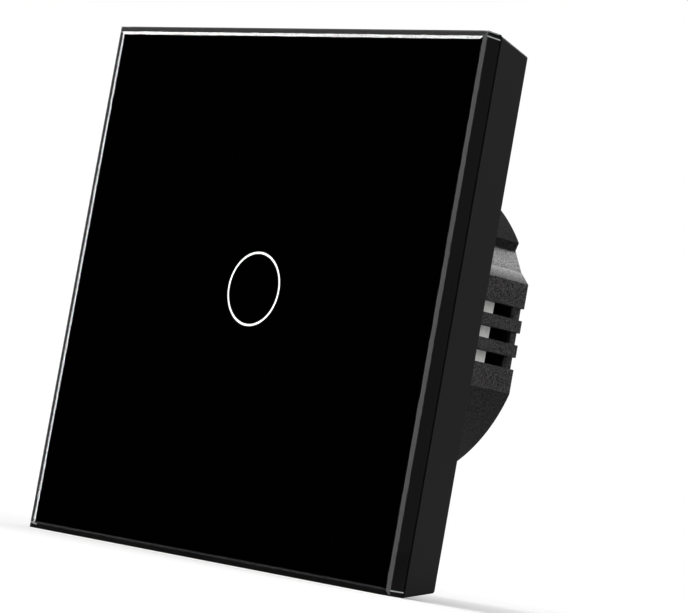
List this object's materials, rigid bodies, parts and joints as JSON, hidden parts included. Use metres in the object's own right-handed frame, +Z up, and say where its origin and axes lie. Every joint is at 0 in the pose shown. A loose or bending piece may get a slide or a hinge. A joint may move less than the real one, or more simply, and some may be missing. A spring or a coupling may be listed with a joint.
{
  "type": "touch light switch",
  "caption": "Square glass-fronted touch light switch with a ring-shaped indicator, a pull-off panel and a round housing for a wall box.",
  "frame": {"origin": "centre of the wall's surface, midway between the two box screws", "axes": "+X to the user's right, +Y into the wall, +Z up; the glass faces -Y"},
  "size_m": [0.086, 0.0388, 0.086],
  "materials": {
    "clear_glass": "polished float glass",
    "black_print": "black screen print",
    "white_print": "white translucent print",
    "foam_tape": "black double-sided foam tape",
    "frame_plastic": "moulded, satin",
    "base_plastic": "moulded, fine grain",
    "housing_plastic": "moulded, spark-eroded grain",
    "zinc_screws": "zinc-plated steel",
    "touch_laminate": "green solder mask",
    "power_laminate": "green solder mask",
    "clear_plastic": "frosted clear moulding",
    "lamp_resin": "cast resin",
    "spring_brass": "plated wire",
    "chip_epoxy": "moulded epoxy",
    "contact_brass": "stamped",
    "socket_plastic": "moulded",
    "relay_plastic": "moulded",
    "relay_case": "light grey moulding",
    "soft_iron": "bright nickel-plated iron",
    "bobbin_plastic": "moulded nylon",
    "copper_winding": "enamelled copper wire",
    "can_sleeve": "shrunk sleeve on aluminium",
    "film_case": "moulded box",
    "fuse_glass": "glass tube with plated caps",
    "disc_lacquer": "dipped lacquer",
    "ferrite": "ground ferrite",
    "winding_tape": "polyester tape",
    "tinned_steel": "tinned",
    "terminal_plastic": "moulded nylon",
    "cage_steel": "zinc-plated steel"
  },
  "bodies": {
    "base": {"base_plate": "base_plastic", "rear_housing": "housing_plastic", "housing_screws": "zinc_screws", "touch_board": "touch_laminate", "board_screws": "zinc_screws", "light_guide": "clear_plastic", "status_lamps": "lamp_resin", "touch_spring": "spring_brass", "touch_chip": "chip_epoxy", "link_pins": "contact_brass", "link_socket": "socket_plastic", "power_board": "power_laminate", "relay_base": "relay_plastic", "relay_cover": "relay_case", "relay_yoke": "soft_iron", "relay_core": "soft_iron", "relay_bobbin": "bobbin_plastic", "relay_winding": "copper_winding", "fixed_contact": "contact_brass", "filter_capacitor": "can_sleeve", "output_capacitor": "can_sleeve", "film_capacitor": "film_case", "bridge_rectifier": "chip_epoxy", "fuse": "fuse_glass", "varistor": "disc_lacquer", "transformer_core": "ferrite", "transformer_bobbin": "bobbin_plastic", "transformer_winding": "winding_tape", "radio_board": "touch_laminate", "radio_shield": "tinned_steel", "antenna_coil": "copper_winding", "terminal_block": "terminal_plastic", "contact_bars": "contact_brass"},
    "panel": {"glass_panel": "clear_glass", "back_print": "black_print", "indicator_ring": "white_print", "panel_tape": "foam_tape", "panel_frame": "frame_plastic"},
    "armature": {"relay_armature": "soft_iron", "contact_blade": "contact_brass"},
    "live_screw": {"live_screw": "zinc_screws"},
    "live_cage": {"live_cage": "cage_steel"},
    "load_screw": {"load_screw": "zinc_screws"},
    "load_cage": {"load_cage": "cage_steel"}
  },
  "joints": [
    {"name": "panel_pull", "type": "slide", "parent": "base", "child": "panel", "axis": [0, -1, 0], "range_m": [0, 0.012]},
    {"name": "armature_tip", "type": "hinge", "parent": "base", "child": "armature", "pos_m": [0.01535, 0.02005, -0.00865], "axis": [1, 0, 0], "range_deg": [0, 3], "stiffness_Nm_per_rad": 0.02, "springref_deg": -5.73},
    {"name": "live_screw_turn", "type": "hinge", "parent": "base", "child": "live_screw", "pos_m": [-0.0052, 0.0255, -0.0183], "axis": [0, -1, 0], "range_deg": [0, 1440]},
    {"name": "live_cage_rise", "type": "slide", "parent": "base", "child": "live_cage", "axis": [0, 1, 0], "range_m": [0, 0.002]},
    {"name": "load_screw_turn", "type": "hinge", "parent": "base", "child": "load_screw", "pos_m": [0.0052, 0.0255, -0.0183], "axis": [0, -1, 0], "range_deg": [0, 1440]},
    {"name": "load_cage_rise", "type": "slide", "parent": "base", "child": "load_cage", "axis": [0, 1, 0], "range_m": [0, 0.002]}
  ],
  "couplings": [
    {"joint": "live_screw_turn", "follows": "live_cage_rise", "rad_per_m": 12560},
    {"joint": "load_screw_turn", "follows": "load_cage_rise", "rad_per_m": 12560}
  ]
}
